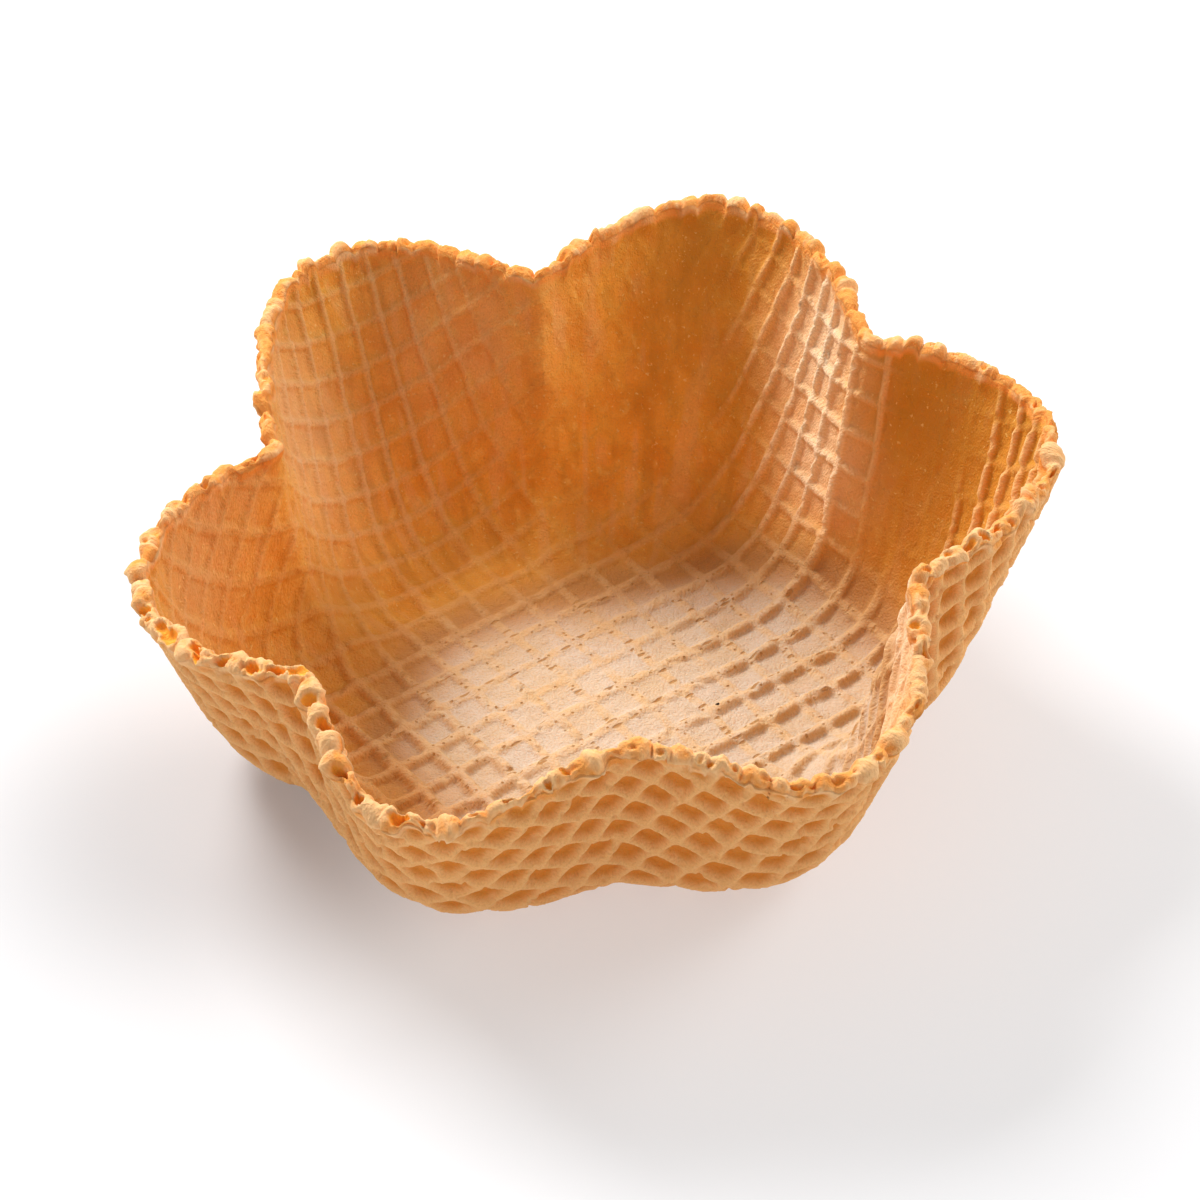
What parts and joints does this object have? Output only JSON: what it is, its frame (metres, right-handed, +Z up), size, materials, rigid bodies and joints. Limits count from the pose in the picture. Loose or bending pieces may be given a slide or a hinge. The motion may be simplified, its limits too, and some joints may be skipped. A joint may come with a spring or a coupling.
{
  "type": "wafer tulip cup",
  "caption": "Edible wafer tulip: a thin waffle sheet baked into an open cup with wavy lobed walls, a flat floor and an uneven broken rim, for a dessert.",
  "frame": {"origin": "on the surface the cup stands on, under the middle of its box", "axes": "+Z up out of the open mouth; the camera of the picture looks along +Y and down"},
  "size_m": [0.116, 0.1159, 0.0419],
  "materials": {
    "wafer": "matte baked wafer, pale tan ribs over deeper golden pockets"
  },
  "bodies": {
    "root": {"wafer_cup": "wafer"}
  },
  "joints": []
}
